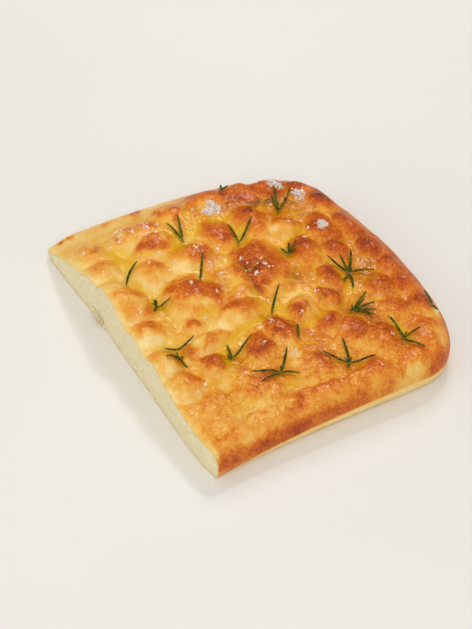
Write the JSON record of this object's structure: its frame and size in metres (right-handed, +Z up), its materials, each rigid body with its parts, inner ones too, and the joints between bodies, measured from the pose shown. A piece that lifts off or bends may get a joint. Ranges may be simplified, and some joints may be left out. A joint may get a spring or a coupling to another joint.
{
  "type": "focaccia",
  "caption": "Half of a thick, dimpled focaccia flatbread with one straight cut face, an oily browned top, salt flakes and rosemary sprigs.",
  "frame": {"origin": "middle of the footprint, on the flat base", "axes": "+X along the cut from the thin left end to the thick right end, +Y from the cut face to the rounded back, +Z up"},
  "size_m": [0.2682, 0.222, 0.0469],
  "materials": {
    "baked_crust": "oily baked crust, golden to red-brown on the domes, yellow and glossy in the dimples",
    "crumb": "matte, soft and finely porous pale cream crumb on the cut face",
    "salt": "translucent white coarse salt crystals",
    "rosemary": "satin dark green needles with a paler underside"
  },
  "bodies": {
    "root": {"focaccia": "baked_crust", "rosemary_01": "rosemary", "rosemary_02": "rosemary", "rosemary_03": "rosemary", "rosemary_04": "rosemary", "rosemary_05": "rosemary", "rosemary_06": "rosemary", "rosemary_07": "rosemary", "rosemary_08": "rosemary", "rosemary_09": "rosemary", "rosemary_10": "rosemary", "rosemary_11": "rosemary", "rosemary_12": "rosemary", "rosemary_13": "rosemary", "rosemary_14": "rosemary", "rosemary_15": "rosemary", "rosemary_16": "rosemary", "rosemary_17": "rosemary", "rosemary_18": "rosemary", "rosemary_19": "rosemary"}
  },
  "joints": []
}
